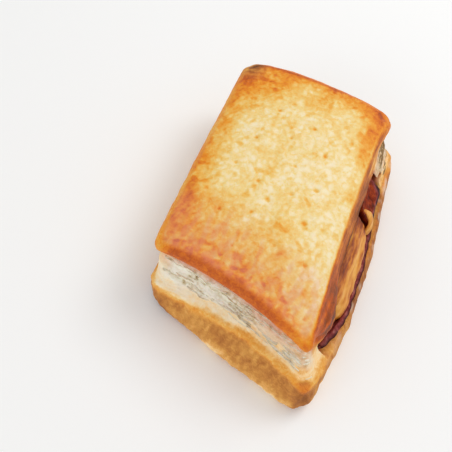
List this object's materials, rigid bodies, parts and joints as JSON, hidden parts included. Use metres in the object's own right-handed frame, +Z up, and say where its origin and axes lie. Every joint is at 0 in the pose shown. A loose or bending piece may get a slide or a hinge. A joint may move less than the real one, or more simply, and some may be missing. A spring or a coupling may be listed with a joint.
{
  "type": "ham and cheese turnover pastry",
  "caption": "Rectangular puff pastry turnover with a domed browned top that overhangs pale layered ends, and a long side mouth showing ham and cheese.",
  "frame": {"origin": "middle of the underside's bounding rectangle, on the surface that the pastry rests on", "axes": "+X towards the open side with the filling, +Y along the long side towards the back, +Z up"},
  "size_m": [0.087, 0.1393, 0.0432],
  "materials": {
    "pastry_crust": "golden egg-washed puff pastry, satin on top and dry at the layered ends",
    "baked_ham": "moist baked ham with a dark edge",
    "browned_cheese": "melted cheese browned where it shows"
  },
  "bodies": {
    "root": {"pastry": "pastry_crust", "ham": "baked_ham", "cheese": "browned_cheese"}
  },
  "joints": []
}
